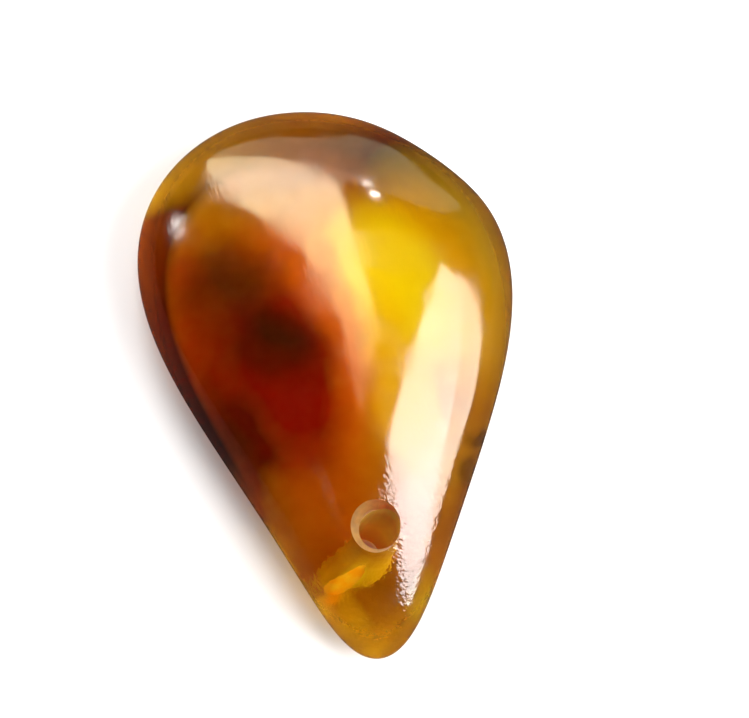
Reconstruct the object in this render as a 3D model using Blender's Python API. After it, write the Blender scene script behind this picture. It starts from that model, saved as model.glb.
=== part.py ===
"""Polished amber drop with a hole drilled through its narrow end.

One solid lump of fossil resin, ground and polished by hand into a pear-shaped
cabochon. Its back is flat in the middle and rounded towards the edge, and the drop
lies on it. The dome faces +Z and the narrow end points to -Y. The origin is under
the middle of the outline, on the surface that the drop lies on. Lengths in metres.
"""

import math

import bmesh
import bpy
from mathutils import Matrix, Vector

# The outline seen from above, from the narrow end (-1) to the wide end (+1)
HALF_LENGTH = 0.0150
HALF_WIDTH_AT_MIDDLE = 0.00866
WIDENING = 0.00576
SHOULDER_ROUNDING = -0.00192
MIDLINE_SLANT = -0.00050
MIDLINE_BOW = -0.00096
MIDLINE_HOOK = -0.00021

# The shoulder on the right of the wide end, where a stroke of the wheel took more off
GROUND_SHOULDER_AT = math.radians(39)
GROUND_SHOULDER_DEPTH = 0.031
GROUND_SHOULDER_SPREAD = 0.03

# The thickness: the widest line's height, the dome over it and the belly under it
GIRDLE_HEIGHT = 0.0026
DOME_RISE = 0.0050
DOME_SLOPE = 0.18
BELLY_DEPTH = 0.0040
BACK_EDGE_ROUNDING = 0.00035

# The drilled hole: where it enters the dome, how far it leans to +X and +Y for each
# unit of height, and its worn mouth, which lies a little to one side
HOLE_PLACE = Vector((0.00069, -0.00845))
HOLE_LEAN = Vector((0.20, 0.14, 1.0))
HOLE_RADIUS = 0.00105
DRILL_LENGTH = 0.0160
MOUTH_SHIFT = Vector((-0.00024, 0.00010))
MOUTH_RADIUS = 0.00138
MOUTH_DEPTH = 0.00040
HOLE_SIDES = 32

SURFACE_SUBDIVISIONS = 5
SHARP_EDGE_ANGLE = math.radians(35)

AMBER_COLOUR = (0.60, 0.24, 0.02, 1.0)
AMBER_ROUGHNESS = 0.04
AMBER_IOR = 1.54
AMBER_CLEARNESS = 0.8


def clear_scene():
    for thing in list(bpy.data.objects):
        bpy.data.objects.remove(thing)


def ground_shoulder(across, along):
    """The share of its reach that the outline keeps on this side of the unit sphere."""
    towards_shoulder = (
        across * math.sin(GROUND_SHOULDER_AT) + along * math.cos(GROUND_SHOULDER_AT)
    )
    return 1 - GROUND_SHOULDER_DEPTH * math.exp(
        (towards_shoulder - 1) / GROUND_SHOULDER_SPREAD
    )


def midline(along):
    """X of the middle of the outline at this share of the half-length."""
    return MIDLINE_SLANT * along + MIDLINE_BOW * along**2 + MIDLINE_HOOK * along**3


def half_width(along):
    """What the unit sphere's own roundness is stretched by to make the outline."""
    return HALF_WIDTH_AT_MIDDLE + WIDENING * along + SHOULDER_ROUNDING * along**3


def flattened(height):
    """The belly's height with all that would sink under the back made level."""
    if height >= BACK_EDGE_ROUNDING:
        return height
    if height <= -BACK_EDGE_ROUNDING:
        return 0.0
    return (height + BACK_EDGE_ROUNDING) ** 2 / (4 * BACK_EDGE_ROUNDING)


def drop_point(across, along, up):
    """Where a point of the unit sphere lies on the drop."""
    if up >= 0:
        height = GIRDLE_HEIGHT + DOME_RISE * (1 + DOME_SLOPE * along) * up
    else:
        height = flattened(GIRDLE_HEIGHT + BELLY_DEPTH * up)
    kept = ground_shoulder(across, along)
    across = across * kept
    along = along * kept
    return Vector(
        (midline(along) + half_width(along) * across, HALF_LENGTH * along, height)
    )


def dome_over(place):
    """The dome's point straight over a place in the plan."""
    along = place.y / HALF_LENGTH
    across = (place.x - midline(along)) / half_width(along)
    return drop_point(across, along, math.sqrt(1 - across**2 - along**2))


def out_of_dome(place):
    """The way straight out of the dome over a place in the plan."""
    reach = HOLE_RADIUS
    to_the_right = dome_over(place + Vector((reach, 0))) - dome_over(place)
    to_the_wide_end = dome_over(place + Vector((0, reach))) - dome_over(place)
    return to_the_right.cross(to_the_wide_end)


def pointed(direction):
    """The turn from straight up to this direction."""
    return Vector((0, 0, 1)).rotation_difference(direction).to_matrix().to_4x4()


def finished_mesh(name, shape):
    """A mesh from a bmesh, with its faces pointing out."""
    bmesh.ops.recalc_face_normals(shape, faces=shape.faces)
    mesh = bpy.data.meshes.new(name)
    shape.to_mesh(mesh)
    shape.free()
    return mesh


def linked_object(name, mesh):
    thing = bpy.data.objects.new(name, mesh)
    bpy.context.scene.collection.objects.link(thing)
    return thing


def undrilled_drop():
    shape = bmesh.new()
    bmesh.ops.create_icosphere(shape, subdivisions=SURFACE_SUBDIVISIONS, radius=1.0)
    for vertex in shape.verts:
        vertex.co = drop_point(*vertex.co)
    return linked_object("amber_drop", finished_mesh("amber_drop", shape))


def round_cutter(name, lower_radius, upper_radius, length, placed):
    """A hidden cylinder or cone that is cut away from the amber."""
    shape = bmesh.new()
    bmesh.ops.create_cone(
        shape,
        cap_ends=True,
        segments=HOLE_SIDES,
        radius1=lower_radius,
        radius2=upper_radius,
        depth=length,
        matrix=placed,
    )
    cutter = linked_object(name, finished_mesh(name, shape))
    cutter.hide_render = True
    cutter.display_type = "WIRE"
    return cutter


def drill():
    """The leaning hole, right through from the dome to the back."""
    return round_cutter(
        "drill",
        HOLE_RADIUS,
        HOLE_RADIUS,
        DRILL_LENGTH,
        Matrix.Translation(dome_over(HOLE_PLACE)) @ pointed(HOLE_LEAN),
    )


def worn_mouth():
    """The hole's worn upper lip: a wide, shallow cone that follows the dome's slant."""
    place = HOLE_PLACE + MOUTH_SHIFT
    flare = MOUTH_RADIUS - HOLE_RADIUS
    return round_cutter(
        "worn_mouth",
        MOUTH_RADIUS - 2 * flare,
        MOUTH_RADIUS + 2 * flare,
        4 * MOUTH_DEPTH,
        Matrix.Translation(dome_over(place)) @ pointed(out_of_dome(place)),
    )


def cut_away(thing, cutters):
    """Cuts each cutter from the thing, and leaves the cutters out of the scene."""
    for cutter in cutters:
        cut = thing.modifiers.new(cutter.name, "BOOLEAN")
        cut.operation = "DIFFERENCE"
        cut.solver = "EXACT"
        cut.object = cutter
    graph = bpy.context.evaluated_depsgraph_get()
    thing.data = bpy.data.meshes.new_from_object(thing.evaluated_get(graph))
    thing.modifiers.clear()
    for cutter in cutters:
        bpy.data.objects.remove(cutter)


def centre_on_origin(thing):
    """Moves the mesh so that the middle of its outline is over the origin."""
    points = [vertex.co for vertex in thing.data.vertices]
    middle_x = (min(p.x for p in points) + max(p.x for p in points)) / 2
    middle_y = (min(p.y for p in points) + max(p.y for p in points)) / 2
    thing.data.transform(Matrix.Translation((-middle_x, -middle_y, 0)))


def amber():
    material = bpy.data.materials.new("amber")
    material.use_nodes = True
    surface = material.node_tree.nodes["Principled BSDF"]
    surface.inputs["Base Color"].default_value = AMBER_COLOUR
    surface.inputs["Roughness"].default_value = AMBER_ROUGHNESS
    surface.inputs["Metallic"].default_value = 0.0
    surface.inputs["IOR"].default_value = AMBER_IOR
    surface.inputs["Transmission Weight"].default_value = AMBER_CLEARNESS
    return material


clear_scene()
amber_drop = undrilled_drop()
cut_away(amber_drop, [drill(), worn_mouth()])
centre_on_origin(amber_drop)
amber_drop.data.materials.clear()
amber_drop.data.materials.append(amber())
amber_drop.data.shade_smooth()
amber_drop.data.set_sharp_from_angle(angle=SHARP_EDGE_ANGLE)
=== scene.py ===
import math

import bmesh
import bpy
from mathutils import Matrix, Vector


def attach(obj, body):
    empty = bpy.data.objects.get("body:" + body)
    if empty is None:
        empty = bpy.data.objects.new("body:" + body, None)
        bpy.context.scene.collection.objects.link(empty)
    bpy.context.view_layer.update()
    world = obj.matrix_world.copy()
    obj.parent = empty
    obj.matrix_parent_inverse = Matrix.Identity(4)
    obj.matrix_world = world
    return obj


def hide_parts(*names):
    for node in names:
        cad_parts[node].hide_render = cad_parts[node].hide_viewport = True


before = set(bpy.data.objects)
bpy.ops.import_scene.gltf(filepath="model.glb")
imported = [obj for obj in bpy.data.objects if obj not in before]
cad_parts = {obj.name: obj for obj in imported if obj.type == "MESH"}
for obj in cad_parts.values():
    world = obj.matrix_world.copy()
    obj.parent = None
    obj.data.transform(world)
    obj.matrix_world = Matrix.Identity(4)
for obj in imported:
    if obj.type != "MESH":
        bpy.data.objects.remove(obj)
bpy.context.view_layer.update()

# The camera looks down on the dome from the narrow end's side, turned a little so
# that the drop leans to the left, from far enough off to keep its outline true.
LENS_MM = 180
SENSOR_MM = 36
NEAREST_SEEN = 0.01
CAMERA_AZIMUTH = math.radians(-8.0)
CAMERA_ELEVATION = math.radians(81.0)
CAMERA_DISTANCE = 0.2012
LOOKED_AT = Vector((0.00202, 0.00098, 0.0026))

camera_data = bpy.data.cameras.new("camera")
camera_data.lens = LENS_MM
camera_data.sensor_width = SENSOR_MM
camera_data.clip_start = NEAREST_SEEN
camera = bpy.data.objects.new("camera", camera_data)
towards_camera = Vector(
    (
        math.sin(CAMERA_AZIMUTH) * math.cos(CAMERA_ELEVATION),
        -math.cos(CAMERA_AZIMUTH) * math.cos(CAMERA_ELEVATION),
        math.sin(CAMERA_ELEVATION),
    )
)
camera.location = LOOKED_AT + towards_camera * CAMERA_DISTANCE
camera.rotation_mode = "QUATERNION"
camera.rotation_quaternion = towards_camera.to_track_quat("Z", "Y")
bpy.context.scene.collection.objects.link(camera)
bpy.context.scene.camera = camera

# The amber is one lump of fossil resin, ground on a wheel into a pear-shaped dome
# with a flat back, drilled through its narrow end, and its dome polished by hand.
MM = 0.001
HALF_LENGTH = 15.0 * MM
HALF_WIDTH_AT_MIDDLE = 8.66 * MM
WIDENING = 5.76 * MM
SHOULDER_ROUNDING = -1.92 * MM
MIDLINE_SLANT = -0.50 * MM
MIDLINE_BOW = -0.96 * MM
MIDLINE_HOOK = -0.21 * MM
GROUND_SHOULDER_AT = math.radians(39)
GROUND_SHOULDER_DEPTH = 0.031
GROUND_SHOULDER_SPREAD = 0.03
GIRDLE_HEIGHT = 2.6 * MM
DOME_RISE = 5.0 * MM
DOME_SLOPE = 0.18
BELLY_DEPTH = 4.0 * MM
BACK_EDGE_ROUNDING = 0.35 * MM
POLISHED_SUBDIVISIONS = 7


def ground_shoulder(across, along):
    """The share of its reach that the outline keeps on this side."""
    towards_shoulder = (
        across * math.sin(GROUND_SHOULDER_AT) + along * math.cos(GROUND_SHOULDER_AT)
    )
    return 1 - GROUND_SHOULDER_DEPTH * math.exp(
        (towards_shoulder - 1) / GROUND_SHOULDER_SPREAD
    )


def midline(along):
    return MIDLINE_SLANT * along + MIDLINE_BOW * along**2 + MIDLINE_HOOK * along**3


def half_width(along):
    return HALF_WIDTH_AT_MIDDLE + WIDENING * along + SHOULDER_ROUNDING * along**3


def flattened(height):
    """The belly's height with all that would sink under the back made level."""
    if height >= BACK_EDGE_ROUNDING:
        return height
    if height <= -BACK_EDGE_ROUNDING:
        return 0.0
    return (height + BACK_EDGE_ROUNDING) ** 2 / (4 * BACK_EDGE_ROUNDING)


def drop_point(across, along, up):
    """Where a point of the unit sphere lies on the drop."""
    if up >= 0:
        height = GIRDLE_HEIGHT + DOME_RISE * (1 + DOME_SLOPE * along) * up
    else:
        height = flattened(GIRDLE_HEIGHT + BELLY_DEPTH * up)
    kept = ground_shoulder(across, along)
    across = across * kept
    along = along * kept
    return Vector(
        (midline(along) + half_width(along) * across, HALF_LENGTH * along, height)
    )


shape = bmesh.new()
bmesh.ops.create_icosphere(shape, subdivisions=POLISHED_SUBDIVISIONS, radius=1.0)
for vertex in shape.verts:
    vertex.co = drop_point(*vertex.co)
left = min(vertex.co.x for vertex in shape.verts)
right = max(vertex.co.x for vertex in shape.verts)
bmesh.ops.translate(shape, verts=shape.verts, vec=Vector((-(left + right) / 2, 0, 0)))
bmesh.ops.recalc_face_normals(shape, faces=shape.faces)
amber_mesh = bpy.data.meshes.new("polished_amber")
shape.to_mesh(amber_mesh)
shape.free()
amber = bpy.data.objects.new("polished_amber", amber_mesh)
bpy.context.scene.collection.objects.link(amber)

AMBER_IOR = 1.54
ABSORPTION_COLOUR = (0.996, 0.965, 0.14, 1.0)
ABSORPTION_DENSITY = 400.0


def clear_resin(name):
    """See-through fossil resin, which takes the blue out of the light on its way."""
    material = bpy.data.materials.new(name)
    material.use_nodes = True
    surface = material.node_tree.nodes["Principled BSDF"]
    surface.inputs["IOR"].default_value = AMBER_IOR
    surface.inputs["Transmission Weight"].default_value = 1.0
    absorption = material.node_tree.nodes.new("ShaderNodeVolumeAbsorption")
    absorption.inputs["Color"].default_value = ABSORPTION_COLOUR
    absorption.inputs["Density"].default_value = ABSORPTION_DENSITY
    material.node_tree.links.new(
        absorption.outputs["Volume"],
        material.node_tree.nodes["Material Output"].inputs["Volume"],
    )
    return material


# The colour lies mostly in the resin: honey round a clear yellow window, and a dark red cloud
# with nearly black cores. About half of its strength is given to the back, which is seen
# through the dome, and half to the dome. A band round the girdle is darkened with painted
# shade, a dark band along the left edge is painted shade, and a few bright patches by the
# crack and the tip are painted glow.
HONEY = (0.42, 0.14, 0.03)
COLOUR_CLOUDS = (
    # name, middle in mm, reach in mm, turn in degrees, softness of its edge, colour
    ("olive_shoulder", (-4.3, 11.4), (4.6, 3.2), 20, 0.5, (0.37, 0.13, 0.03)),
    ("brown_crown", (2.2, 12.4), (5.4, 2.4), -14, 0.5, (0.29, 0.055, 0.008)),
    ("dark_crown", (5.4, 11.2), (3.9, 2.6), -34, 0.5, (0.055, 0.002, 0.0005)),
    ("brown_end", (-1.4, -7.0), (2.4, 4.0), 10, 0.5, (0.34, 0.057, 0.01)),
    ("brown_tip", (0.6, -12.4), (2.6, 2.4), 0, 0.5, (0.29, 0.07, 0.01)),
    ("olive_right", (5.9, 5.0), (3.4, 5.6), 8, 0.40, (0.86, 0.50, 0.06)),
    ("yellow_window", (3.4, 4.6), (2.4, 4.1), 17, 0.40, (1.0, 0.95, 0.15)),
    ("window_foot", (2.8, -1.0), (1.7, 4.8), 10, 0.50, (0.88, 0.60, 0.1)),
    ("orange_skirt", (-1.7, 2.0), (3.2, 6.4), 10, 0.28, (0.50, 0.055, 0.006)),
    ("rusty_flank", (-6.9, 3.2), (2.8, 6.2), 12, 0.4, (0.22, 0.0085, 0.001)),
    # painted shade: a dark band along the left edge, like the darkened girdle
    ("painted_shade_left_edge", (-6.0, -3.6), (1.4, 5.6), 24, 0.5, (0.025, 0.0004, 0.0001)),
    ("red_cloud", (-2.9, 1.0), (2.7, 5.8), 14, 0.28, (0.125, 0.0002, 0.0001)),
    ("left_core", (-5.3, -2.4), (1.4, 3.1), 26, 0.5, (0.008, 0.0001, 0.0001)),
    ("olive_core", (-4.6, 6.0), (2.1, 1.8), 0, 0.6, (0.043, 0.0044, 0.0008)),
    ("black_core", (-2.8, 2.6), (2.5, 1.4), -38, 0.6, (0.010, 0.0004, 0.0002)),
    # painted glow: a bright patch along the stress crack stands in for its glint
    ("painted_crack_glow", (-1.0, -10.7), (1.1, 0.45), 28, 0.5, (0.9, 0.45, 0.04)),
    ("dark_right_edge", (5.9, -7.9), (0.9, 3.6), -27, 0.5, (0.13, 0.020, 0.004)),
    ("upper_stain", (6.9, -4.3), (0.45, 0.6), -20, 0.5, (0.02, 0.006, 0.002)),
    ("lower_stain", (6.2, -5.9), (0.5, 0.9), -20, 0.5, (0.03, 0.008, 0.002)),
    # painted glow: a bright orange patch by the crack's low end stands in for light thrown back
    # inside the stone
    ("painted_orange_glow", (-2.0, -11.6), (0.6, 0.35), 25, 0.6, (0.80, 0.12, 0.01)),
    ("clear_edge_left", (-1.1, -12.6), (0.5, 1.0), 20, 0.6, (0.85, 0.45, 0.05)),
    # painted highlight: a bright yellow patch near the tip's right edge stands in for the light
    # glowing at that edge
    ("painted_edge_glow_right", (2.7, -12.1), (0.5, 1.2), -24, 0.6, (1.0, 0.80, 0.08)),
)
FLOW_SIZE = 3.2 * MM
FLOW_SHIFT = 0.9 * MM
NOISE_MIDDLE = (0.5, 0.5, 0.5)
MOTTLE_SIZE = 0.9 * MM
MOTTLE_FINENESS = 0.6
MOTTLE_RANGE = (0.3, 0.7)
MOTTLE_DEPTH = 0.06
STRENGTH_AT_BACK = 0.45
STRENGTH_AT_DOME = 0.55
BACK_TO_DOME = (0.8 * MM, 4.0 * MM)
# Painted shade: a dark band round the girdle, weaker at the crown and on the right.
RIM_SHADE_COLOUR = (0.045, 0.007, 0.002)
RIM_SHADE_SLOPE = 0.11
RIM_SHADE_FOOT = (0.5 * MM, 1.4 * MM)
RIM_SHADE_TOP = (4.4 * MM, 5.0 * MM)
RIM_SHADE_NARROW_END = (-9.0 * MM, -3.0 * MM)
RIM_SHADE_CROWN = (9.8 * MM, 12.2 * MM)
RIM_SHADE_AT_CROWN = 0.45
RIM_SHADE_LEFT_TO_RIGHT = (-5.0 * MM, 6.0 * MM)
RIM_SHADE_AT_RIGHT = 0.2

polished = clear_resin("amber")
amber_mesh.materials.append(polished)
nodes = polished.node_tree.nodes
links = polished.node_tree.links
surface = nodes["Principled BSDF"]
place = nodes.new("ShaderNodeTexCoord")


def noise(size, fineness=0.5):
    """A cloudy pattern with patches of about this size, and finer ones by its fineness."""
    pattern = nodes.new("ShaderNodeTexNoise")
    pattern.inputs["Scale"].default_value = 1 / size
    pattern.inputs["Detail"].default_value = 1.0
    pattern.inputs["Roughness"].default_value = fineness
    links.new(place.outputs["Object"], pattern.inputs["Vector"])
    return pattern


def between(value, ends, at_lowest, at_highest, smooth=True):
    """A value carried over from the range between two ends to another, and held there."""
    step = nodes.new("ShaderNodeMapRange")
    step.interpolation_type = "SMOOTHSTEP" if smooth else "LINEAR"
    step.inputs["From Min"].default_value = ends[0]
    step.inputs["From Max"].default_value = ends[1]
    step.inputs["To Min"].default_value = at_lowest
    step.inputs["To Max"].default_value = at_highest
    links.new(value, step.inputs["Value"])
    return step.outputs["Result"]


flow = noise(FLOW_SIZE)
centred = nodes.new("ShaderNodeVectorMath")
centred.operation = "SUBTRACT"
centred.inputs[1].default_value = NOISE_MIDDLE
links.new(flow.outputs["Color"], centred.inputs[0])
drift = nodes.new("ShaderNodeVectorMath")
drift.operation = "MULTIPLY_ADD"
drift.inputs[1].default_value = (FLOW_SHIFT * 2,) * 3
links.new(centred.outputs["Vector"], drift.inputs[0])
links.new(place.outputs["Object"], drift.inputs[2])


def cloud_share(middle, reach, turn, edge):
    """How much of this cloud there is at a place: 1 inside it, 0 well outside."""
    mapping = nodes.new("ShaderNodeMapping")
    mapping.vector_type = "TEXTURE"
    mapping.inputs["Location"].default_value = (middle[0] * MM, middle[1] * MM, 0)
    mapping.inputs["Rotation"].default_value = (0, 0, math.radians(turn))
    mapping.inputs["Scale"].default_value = (reach[0] * MM, reach[1] * MM, 1.0)
    links.new(drift.outputs["Vector"], mapping.inputs["Vector"])
    distance = nodes.new("ShaderNodeVectorMath")
    distance.operation = "LENGTH"
    links.new(mapping.outputs["Vector"], distance.inputs[0])
    return between(distance.outputs["Value"], (1 - edge, 1 + edge), 1.0, 0.0)


honey = nodes.new("ShaderNodeRGB")
honey.outputs[0].default_value = (*HONEY, 1.0)
tint = honey.outputs[0]
for name, middle, reach, turn, edge, colour in COLOUR_CLOUDS:
    cloud = nodes.new("ShaderNodeMix")
    cloud.label = name
    cloud.data_type = "RGBA"
    cloud.inputs["B"].default_value = (*colour, 1.0)
    links.new(cloud_share(middle, reach, turn, edge), cloud.inputs["Factor"])
    links.new(tint, cloud.inputs["A"])
    tint = cloud.outputs["Result"]
mottle = noise(MOTTLE_SIZE, MOTTLE_FINENESS)
position = nodes.new("ShaderNodeSeparateXYZ")
links.new(place.outputs["Object"], position.inputs["Vector"])


def times(first, second):
    """Two values multiplied."""
    product = nodes.new("ShaderNodeMath")
    product.operation = "MULTIPLY"
    links.new(first, product.inputs[0])
    links.new(second, product.inputs[1])
    return product.outputs["Value"]


strength = between(position.outputs["Z"], BACK_TO_DOME, STRENGTH_AT_BACK, STRENGTH_AT_DOME)
mottled = between(
    mottle.outputs["Fac"], MOTTLE_RANGE, 1 - MOTTLE_DEPTH, 1 + MOTTLE_DEPTH, smooth=False
)
deepened = nodes.new("ShaderNodeGamma")
links.new(tint, deepened.inputs["Color"])
links.new(times(strength, mottled), deepened.inputs["Gamma"])
# Painted shade darkens the band round the girdle, from above the back's edge to below the dome's
# top, fading towards the narrow end, at the crown and on the right.
above_foot = between(position.outputs["Z"], RIM_SHADE_FOOT, 0.0, 1.0)
level = nodes.new("ShaderNodeMath")
level.operation = "MULTIPLY_ADD"
level.inputs[1].default_value = -RIM_SHADE_SLOPE
links.new(position.outputs["Y"], level.inputs[0])
links.new(position.outputs["Z"], level.inputs[2])
below_top = between(level.outputs["Value"], RIM_SHADE_TOP, 1.0, 0.0)
off_narrow_end = between(position.outputs["Y"], RIM_SHADE_NARROW_END, 0.0, 1.0)
towards_crown = between(position.outputs["Y"], RIM_SHADE_CROWN, 1.0, RIM_SHADE_AT_CROWN)
towards_right = between(
    position.outputs["X"], RIM_SHADE_LEFT_TO_RIGHT, 1.0, RIM_SHADE_AT_RIGHT, smooth=False
)
rim_shade_reach = times(times(off_narrow_end, towards_crown), towards_right)
painted_rim_shade = nodes.new("ShaderNodeMix")
painted_rim_shade.data_type = "RGBA"
painted_rim_shade.blend_type = "MULTIPLY"
painted_rim_shade.inputs["B"].default_value = (*RIM_SHADE_COLOUR, 1.0)
links.new(deepened.outputs["Color"], painted_rim_shade.inputs["A"])
links.new(times(times(above_foot, below_top), rim_shade_reach), painted_rim_shade.inputs["Factor"])
links.new(painted_rim_shade.outputs["Result"], surface.inputs["Base Color"])

# The polish: the flat back is only ground, the dome shines, with the soft waves that
# the wheel left and patches of fine grain. The end with the hole is rubbed most.
BACK_ROUGHNESS = 0.5
DOME_ROUGHNESS = 0.08
GRAIN_ROUGHNESS = 0.16
GROUND_TO_POLISHED = (0.6 * MM, 1.8 * MM)
GRAIN_PATCH_SIZE = 2.6 * MM
GRAIN_PATCH_RANGE = (0.44, 0.62)
GRAIN_OFF_PATCHES = 0.12
WAVE_SIZE = 3.6 * MM
WAVE_HEIGHT = 0.004 * MM
WAVE_FINENESS = 0.4
SCRATCH_WIDTH = 0.09 * MM
SCRATCH_LENGTH = 0.55 * MM
SCRATCH_DEPTH = 0.006 * MM
SCRATCH_TURN = math.radians(8)
RUBBED_GRAIN_SIZE = 0.24 * MM
RUBBED_GRAIN_DEPTH = 0.020 * MM
RUBBED_END = (-8.0 * MM, -3.0 * MM)

grain = noise(GRAIN_PATCH_SIZE)
grain_patches = between(grain.outputs["Fac"], GRAIN_PATCH_RANGE, GRAIN_OFF_PATCHES, 1.0)
dome_finish = between(grain_patches, (0.0, 1.0), DOME_ROUGHNESS, GRAIN_ROUGHNESS, smooth=False)
polished_share = between(position.outputs["Z"], GROUND_TO_POLISHED, 0.0, 1.0, smooth=False)
finish = nodes.new("ShaderNodeMix")
finish.data_type = "FLOAT"
links.new(polished_share, finish.inputs["Factor"])
finish.inputs["A"].default_value = BACK_ROUGHNESS
links.new(dome_finish, finish.inputs["B"])
links.new(finish.outputs["Result"], surface.inputs["Roughness"])


def relief(pattern, depth, under=None):
    """Low relief of this depth on top of what is already there."""
    bump = nodes.new("ShaderNodeBump")
    bump.inputs["Strength"].default_value = 1.0
    bump.inputs["Distance"].default_value = depth
    links.new(pattern, bump.inputs["Height"])
    if under is not None:
        links.new(under, bump.inputs["Normal"])
    return bump.outputs["Normal"]


waves = relief(noise(WAVE_SIZE, WAVE_FINENESS).outputs["Fac"], WAVE_HEIGHT)
lengthened = nodes.new("ShaderNodeMapping")
lengthened.vector_type = "TEXTURE"
lengthened.inputs["Rotation"].default_value = (0, 0, SCRATCH_TURN)
lengthened.inputs["Scale"].default_value = (SCRATCH_WIDTH, SCRATCH_LENGTH, SCRATCH_LENGTH)
links.new(place.outputs["Object"], lengthened.inputs["Vector"])
scratches = nodes.new("ShaderNodeTexNoise")
scratches.inputs["Scale"].default_value = 1.0
scratches.inputs["Detail"].default_value = 1.0
links.new(lengthened.outputs["Vector"], scratches.inputs["Vector"])
scratched = relief(times(scratches.outputs["Fac"], grain_patches), SCRATCH_DEPTH, waves)
rubbed_share = between(position.outputs["Y"], RUBBED_END, 1.0, 0.0)
rubbed_grain = times(noise(RUBBED_GRAIN_SIZE).outputs["Fac"], rubbed_share)
links.new(relief(rubbed_grain, RUBBED_GRAIN_DEPTH, scratched), surface.inputs["Normal"])

# The hole was drilled from the dome, leaning a little, and its wall stays frosted. The
# drill and the cord have worn its upper mouth wider on one side. The wall is painted
# lighter and yellower towards its deep end, painted light in place of the light that
# reaches the hole through the amber.
HOLE_MOUTH = Vector((1.04, -8.45, 6.26)) * MM
HOLE_RADIUS = 1.05 * MM
HOLE_LEAN = Vector((0.20, 0.14, 1.0))
DRILL_LENGTH = 16.0 * MM
DRILL_SIDES = 96
MOUTH_SHIFT = Vector((-0.24, 0.10, 0.0)) * MM
MOUTH_RADIUS = 1.38 * MM
MOUTH_DEPTH = 0.40 * MM
OUT_OF_DOME = Vector((0.05, -0.27, 1.0))
CONE_REACH = 2
SHARP_EDGE_ANGLE = math.radians(40)
# painted light: the bore's wall grows lighter and yellower towards its deep end
BORE_PAINTED_LIGHT_RANGE = (2.4 * MM, 4.8 * MM)
BORE_PAINTED_LIGHT_COLOURS = ((1.0, 0.95, 0.14), (0.52, 0.32, 0.04))
BORE_TRANSMISSION = 0.35
BORE_ROUGHNESS = 0.5
WEAR_SIZE = 0.6 * MM
PATCH_RANGE = (0.35, 0.6)
WORN_COLOURS = ((0.42, 0.25, 0.07), (0.58, 0.35, 0.09))
WORN_TRANSMISSION = 0.75
WORN_ROUGHNESS = 0.35


def object_place(tree):
    """Where each point of the piece lies, in metres."""
    return tree.nodes.new("ShaderNodeTexCoord").outputs["Object"]


def patches(tree, size):
    """A cloudy pattern with patches of about this size."""
    pattern = tree.nodes.new("ShaderNodeTexNoise")
    pattern.inputs["Scale"].default_value = 1 / size
    tree.links.new(object_place(tree), pattern.inputs["Vector"])
    return pattern.outputs["Fac"]


def rise(tree):
    """How high each point of the piece lies."""
    axes = tree.nodes.new("ShaderNodeSeparateXYZ")
    tree.links.new(object_place(tree), axes.inputs["Vector"])
    return axes.outputs["Z"]


def two_tone(material, pattern, ends, colours):
    """Colours a material from one tone to another as a pattern grows between two ends."""
    tree = material.node_tree
    share = tree.nodes.new("ShaderNodeMapRange")
    share.inputs["From Min"].default_value = ends[0]
    share.inputs["From Max"].default_value = ends[1]
    tree.links.new(pattern, share.inputs["Value"])
    tones = tree.nodes.new("ShaderNodeMix")
    tones.data_type = "RGBA"
    tones.inputs["A"].default_value = (*colours[0], 1.0)
    tones.inputs["B"].default_value = (*colours[1], 1.0)
    tree.links.new(share.outputs["Result"], tones.inputs["Factor"])
    tree.links.new(tones.outputs["Result"], tree.nodes["Principled BSDF"].inputs["Base Color"])


drilled = clear_resin("drilled_amber")
# the bore's wall is painted lighter towards its deep end, as painted light
two_tone(drilled, rise(drilled.node_tree), BORE_PAINTED_LIGHT_RANGE, BORE_PAINTED_LIGHT_COLOURS)
drilled_surface = drilled.node_tree.nodes["Principled BSDF"]
drilled_surface.inputs["Transmission Weight"].default_value = BORE_TRANSMISSION
drilled_surface.inputs["Roughness"].default_value = BORE_ROUGHNESS
worn = clear_resin("worn_amber")
two_tone(worn, patches(worn.node_tree, WEAR_SIZE), PATCH_RANGE, WORN_COLOURS)
worn_surface = worn.node_tree.nodes["Principled BSDF"]
worn_surface.inputs["Transmission Weight"].default_value = WORN_TRANSMISSION
worn_surface.inputs["Roughness"].default_value = WORN_ROUGHNESS


def cut_away(thing, name, wall, lower_radius, upper_radius, length, middle, direction):
    """Cuts a round hole along a direction and gives its wall this finish."""
    turned = Vector((0, 0, 1)).rotation_difference(direction).to_matrix().to_4x4()
    cutter = bmesh.new()
    bmesh.ops.create_cone(
        cutter,
        cap_ends=True,
        segments=DRILL_SIDES,
        radius1=lower_radius,
        radius2=upper_radius,
        depth=length,
        matrix=Matrix.Translation(middle) @ turned,
    )
    bmesh.ops.recalc_face_normals(cutter, faces=cutter.faces)
    mesh = bpy.data.meshes.new(name)
    cutter.to_mesh(mesh)
    cutter.free()
    mesh.materials.append(wall)
    tool = bpy.data.objects.new(name, mesh)
    bpy.context.scene.collection.objects.link(tool)
    cut = thing.modifiers.new(name, "BOOLEAN")
    cut.operation = "DIFFERENCE"
    cut.solver = "EXACT"
    cut.material_mode = "TRANSFER"
    cut.object = tool
    graph = bpy.context.evaluated_depsgraph_get()
    thing.data = bpy.data.meshes.new_from_object(thing.evaluated_get(graph))
    thing.modifiers.clear()
    bpy.data.objects.remove(tool)


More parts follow.
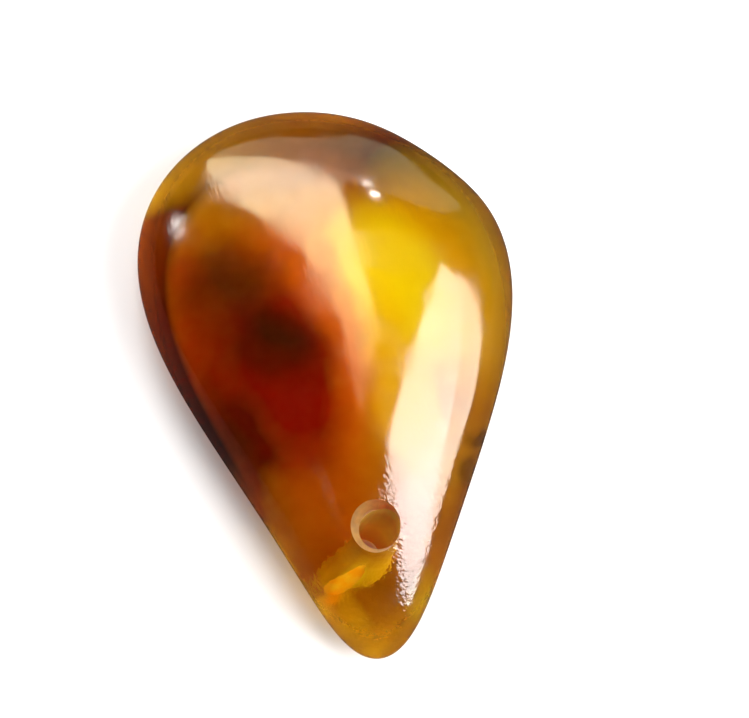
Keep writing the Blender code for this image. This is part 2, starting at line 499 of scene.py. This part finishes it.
flare = MOUTH_RADIUS - HOLE_RADIUS
cut_away(amber, "drill", drilled, HOLE_RADIUS, HOLE_RADIUS, DRILL_LENGTH, HOLE_MOUTH, HOLE_LEAN)
cut_away(
    amber,
    "worn_mouth",
    worn,
    MOUTH_RADIUS - CONE_REACH * flare,
    MOUTH_RADIUS + CONE_REACH * flare,
    2 * CONE_REACH * MOUTH_DEPTH,
    HOLE_MOUTH + MOUTH_SHIFT,
    OUT_OF_DOME,
)
amber.data.shade_smooth()
amber.data.set_sharp_from_angle(angle=SHARP_EDGE_ANGLE)
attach(amber, "root")
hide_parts("amber_drop")

# A thin stress crack lies in the resin between the hole and the edge. It is no thicker
# than paper, and it throws the light back like gold leaf.
CRACK_LOW_END = Vector((-1.85, -11.00, 2.9)) * MM
CRACK_HIGH_END = Vector((0.12, -10.10, 4.2)) * MM
CRACK_HALF_WIDTH = 0.40 * MM
CRACK_HALF_THICKNESS = 0.02 * MM
CRACK_BEND = 0.14 * MM
CRACK_NARROWING = 0.35
CRACK_SUBDIVISIONS = 4
CRACK_FACES = Vector((-0.15, -0.35, 1.0))
GLINT_SIZE = 0.6 * MM
GLINT_COLOURS = ((1.0, 0.62, 0.06), (1.0, 0.80, 0.15))
GLINT_ROUGHNESS = 0.35

crack_length = CRACK_HIGH_END - CRACK_LOW_END
lengthwise = crack_length.normalized()
out_of_crack = (CRACK_FACES - CRACK_FACES.dot(lengthwise) * lengthwise).normalized()
crosswise = out_of_crack.cross(lengthwise)
shape = bmesh.new()
bmesh.ops.create_icosphere(shape, subdivisions=CRACK_SUBDIVISIONS, radius=1.0)
for vertex in shape.verts:
    along, across, up = vertex.co
    narrowing = 1 - CRACK_NARROWING * along
    vertex.co = (
        (CRACK_LOW_END + CRACK_HIGH_END) / 2
        + lengthwise * along * crack_length.length / 2
        + crosswise * (across * CRACK_HALF_WIDTH * narrowing + CRACK_BEND * along**2)
        + out_of_crack * (up * CRACK_HALF_THICKNESS + CRACK_BEND * across**2)
    )
bmesh.ops.recalc_face_normals(shape, faces=shape.faces)
crack_mesh = bpy.data.meshes.new("stress_crack")
shape.to_mesh(crack_mesh)
shape.free()
crack_mesh.shade_smooth()
crack = bpy.data.objects.new("stress_crack", crack_mesh)
bpy.context.scene.collection.objects.link(crack)
glint = bpy.data.materials.new("stress_crack")
glint.use_nodes = True
glint.node_tree.nodes["Principled BSDF"].inputs["Roughness"].default_value = GLINT_ROUGHNESS
two_tone(glint, patches(glint.node_tree, GLINT_SIZE), PATCH_RANGE, GLINT_COLOURS)
crack_mesh.materials.append(glint)
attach(crack, "root")

# The floor is a plain pale sheet of paper, a hair under the stone so that their two
# faces don't coincide. It stays dark in mirror reflections, as black card round the
# stone would keep it.
FLOOR_GAP = 0.06 * MM
FLOOR_HALF_SIZE = 1.5
PAPER_COLOUR = (0.62, 0.605, 0.60, 1.0)
PAPER_IN_REFLECTIONS = (0.03, 0.03, 0.03, 1.0)
PAPER_ROUGHNESS = 0.8

shape = bmesh.new()
bmesh.ops.create_grid(
    shape,
    x_segments=1,
    y_segments=1,
    size=FLOOR_HALF_SIZE,
    matrix=Matrix.Translation((0, 0, -FLOOR_GAP)),
)
floor_mesh = bpy.data.meshes.new("floor")
shape.to_mesh(floor_mesh)
shape.free()
floor = bpy.data.objects.new("floor", floor_mesh)
bpy.context.scene.collection.objects.link(floor)
paper = bpy.data.materials.new("paper")
paper.use_nodes = True
paper_nodes = paper.node_tree.nodes
paper_links = paper.node_tree.links
paper_nodes["Principled BSDF"].inputs["Roughness"].default_value = PAPER_ROUGHNESS
paper_nodes["Principled BSDF"].inputs["Specular IOR Level"].default_value = 0.0
ray = paper_nodes.new("ShaderNodeLightPath")
mirrored = paper_nodes.new("ShaderNodeMath")
mirrored.operation = "SUBTRACT"
mirrored.use_clamp = True
paper_links.new(ray.outputs["Is Glossy Ray"], mirrored.inputs[0])
paper_links.new(ray.outputs["Is Transmission Ray"], mirrored.inputs[1])
paper_shade = paper_nodes.new("ShaderNodeMix")
paper_shade.data_type = "RGBA"
paper_shade.inputs["A"].default_value = PAPER_COLOUR
paper_shade.inputs["B"].default_value = PAPER_IN_REFLECTIONS
paper_links.new(mirrored.outputs["Value"], paper_shade.inputs["Factor"])
paper_links.new(paper_shade.outputs["Result"], paper_nodes["Principled BSDF"].inputs["Base Color"])
floor_mesh.materials.append(paper)

# The light comes from a tall window on the right with a curtain at its side, from one
# that reaches from behind the stone to overhead, and from a pale wall and small lamps.
# Their tint shows on the stone and through it. The floor gets the same light in white.
WINDOW_DISTANCE = 0.42
WALL_DISTANCE = 1.05 * WINDOW_DISTANCE
LAMP_DISTANCE = 0.95 * WINDOW_DISTANCE
SMALL_LAMPS = (
    # azimuth, elevation and half size in degrees
    (-53, 15.5, 0.9),
    (-55, 18.5, 1.2),
    (-52, 22.0, 1.0),
    (-57, 24.5, 1.1),
    (24, 39.0, 0.9),
    (28, 42.5, 1.2),
)
LAMP_LIGHT = (90.0, 86.0, 80.0)
DIM_LAMP_LIGHT = (4.5, 3.8, 2.4)


def window(name, corners, shades, distance=WINDOW_DISTANCE):
    """A soft light. Its corners are (azimuth, elevation) in degrees as the stone sees
    them, where azimuth 0 is +Y and 90 is +X. Its shades are (place, light), with places
    from -1 beyond the narrow end to 1 beyond the wide end, and light in red, green, blue."""
    shape = bmesh.new()
    rim = []
    for azimuth, elevation in corners:
        a = math.radians(azimuth)
        e = math.radians(elevation)
        direction = Vector((math.sin(a) * math.cos(e), math.cos(a) * math.cos(e), math.sin(e)))
        rim.append(shape.verts.new(direction * distance))
    bmesh.ops.triangulate(shape, faces=[shape.faces.new(rim)])
    mesh = bpy.data.meshes.new(name)
    shape.to_mesh(mesh)
    shape.free()
    pane = bpy.data.objects.new(name, mesh)
    pane.visible_camera = False
    bpy.context.scene.collection.objects.link(pane)
    glow = bpy.data.materials.new(name)
    glow.use_nodes = True
    tree = glow.node_tree
    tree.nodes.clear()
    axes = tree.nodes.new("ShaderNodeSeparateXYZ")
    tree.links.new(object_place(tree), axes.inputs["Vector"])
    share = tree.nodes.new("ShaderNodeMapRange")
    share.inputs["From Min"].default_value = -distance
    share.inputs["From Max"].default_value = distance
    tree.links.new(axes.outputs["Y"], share.inputs["Value"])
    ramp = tree.nodes.new("ShaderNodeValToRGB")
    while len(ramp.color_ramp.elements) < len(shades):
        ramp.color_ramp.elements.new(1.0)
    brightest = max(max(light) for along, light in shades)
    for element, (along, light) in zip(ramp.color_ramp.elements, shades):
        element.position = (along + 1) / 2
        element.color = (*(part / brightest for part in light), 1.0)
    tree.links.new(share.outputs["Result"], ramp.inputs["Fac"])
    plain = tree.nodes.new("ShaderNodeRGBToBW")
    tree.links.new(ramp.outputs["Color"], plain.inputs["Color"])
    ray = tree.nodes.new("ShaderNodeLightPath")
    hue = tree.nodes.new("ShaderNodeMix")
    hue.data_type = "RGBA"
    tree.links.new(ray.outputs["Is Glossy Ray"], hue.inputs["Factor"])
    tree.links.new(plain.outputs["Val"], hue.inputs["A"])
    tree.links.new(ramp.outputs["Color"], hue.inputs["B"])
    emission = tree.nodes.new("ShaderNodeEmission")
    emission.inputs["Strength"].default_value = brightest
    tree.links.new(hue.outputs["Result"], emission.inputs["Color"])
    output = tree.nodes.new("ShaderNodeOutputMaterial")
    tree.links.new(emission.outputs["Emission"], output.inputs["Surface"])
    mesh.materials.append(glow)


window(
    "right_window",
    (
        (67, 42), (86, 59), (122, 68), (130, 65), (133, 59), (132, 46), (134, 32), (129, 6),
        (118, 1), (112, 18), (103, 25), (93, 30), (76, 34),
    ),
    (
        (-0.47, (13.5, 14.2, 14.2)),
        (-0.37, (19.0, 19.0, 18.6)),
        (-0.22, (14.5, 14.5, 13.2)),
        (-0.08, (12.0, 12.0, 11.0)),
        (0.25, (10.5, 10.5, 9.0)),
    ),
)
window(
    "right_curtain",
    (
        (76, 34), (93, 30), (103, 25), (112, 18), (118, 1), (105, 0), (96, 9), (87, 18),
        (73, 35),
    ),
    ((-0.4, (13.0, 11.5, 9.5)), (-0.1, (11.2, 10.0, 8.4))),
)
window(
    "back_window",
    (
        (-26, 2), (-21, 13), (-15, 21), (3, 35), (14, 43), (26, 65), (48, 71), (72, 75),
        (132, 83), (126, 86), (13, 80), (-8, 73), (-12, 64), (-24, 53), (-31, 40), (-31, 28),
        (-29, 13),
    ),
    (
        (-0.08, (3.0, 2.0, 1.0)),
        (0.12, (7.5, 5.0, 2.2)),
        (0.48, (12.6, 10.6, 5.4)),
        (0.74, (12.6, 11.2, 8.2)),
        (0.92, (6.8, 5.9, 3.4)),
    ),
)
window(
    "pale_wall",
    (
        (-24, 2), (-11, 7), (5, 13), (14, 10), (17, 1), (29, 1), (42, 13), (54, 8), (56, 12),
        (53, 27), (44, 35), (26, 41), (5, 40), (-20, 24),
    ),
    ((0.55, (1.5, 1.5, 0.9)), (0.85, (1.8, 1.7, 1.2))),
    distance=WALL_DISTANCE,
)
for number, (azimuth, elevation, size) in enumerate(SMALL_LAMPS):
    # four uneven corners, because their glints on the stone are ragged
    window(
        "lamp_%d" % number,
        (
            (azimuth - size, elevation - size),
            (azimuth + size, elevation - size * 0.6),
            (azimuth + size * 0.7, elevation + size),
            (azimuth - size * 0.8, elevation + size * 0.8),
        ),
        ((-1, LAMP_LIGHT), (1, LAMP_LIGHT)),
        distance=LAMP_DISTANCE,
    )
window(
    "lamp_behind_camera",
    ((-125.2, 55.5), (-123.2, 55.5), (-122.2, 60.5), (-123.8, 60.5)),
    ((-1, DIM_LAMP_LIGHT), (1, DIM_LAMP_LIGHT)),
)

# The room round the windows is plain white where the camera looks past the floor, lights
# the floor softly, and is nearly dark in reflections and through the stone.
ROOM_ON_FLOOR = 0.5
ROOM_ELSEWHERE = 0.006

world = bpy.data.worlds.new("studio")
world.use_nodes = True
bpy.context.scene.world = world
world_nodes = world.node_tree.nodes
world_links = world.node_tree.links
sight = world_nodes.new("ShaderNodeLightPath")
room = world_nodes.new("ShaderNodeMath")
room.operation = "MULTIPLY_ADD"
room.inputs[1].default_value = ROOM_ON_FLOOR
room.inputs[2].default_value = ROOM_ELSEWHERE
world_links.new(sight.outputs["Is Diffuse Ray"], room.inputs[0])
backdrop = world_nodes.new("ShaderNodeMath")
backdrop.operation = "MAXIMUM"
world_links.new(room.outputs["Value"], backdrop.inputs[0])
world_links.new(sight.outputs["Is Camera Ray"], backdrop.inputs[1])
world_nodes["Background"].inputs["Color"].default_value = (1.0, 1.0, 1.0, 1.0)
world_links.new(backdrop.outputs["Value"], world_nodes["Background"].inputs["Strength"])
bpy.context.scene.view_settings.view_transform = "Standard"
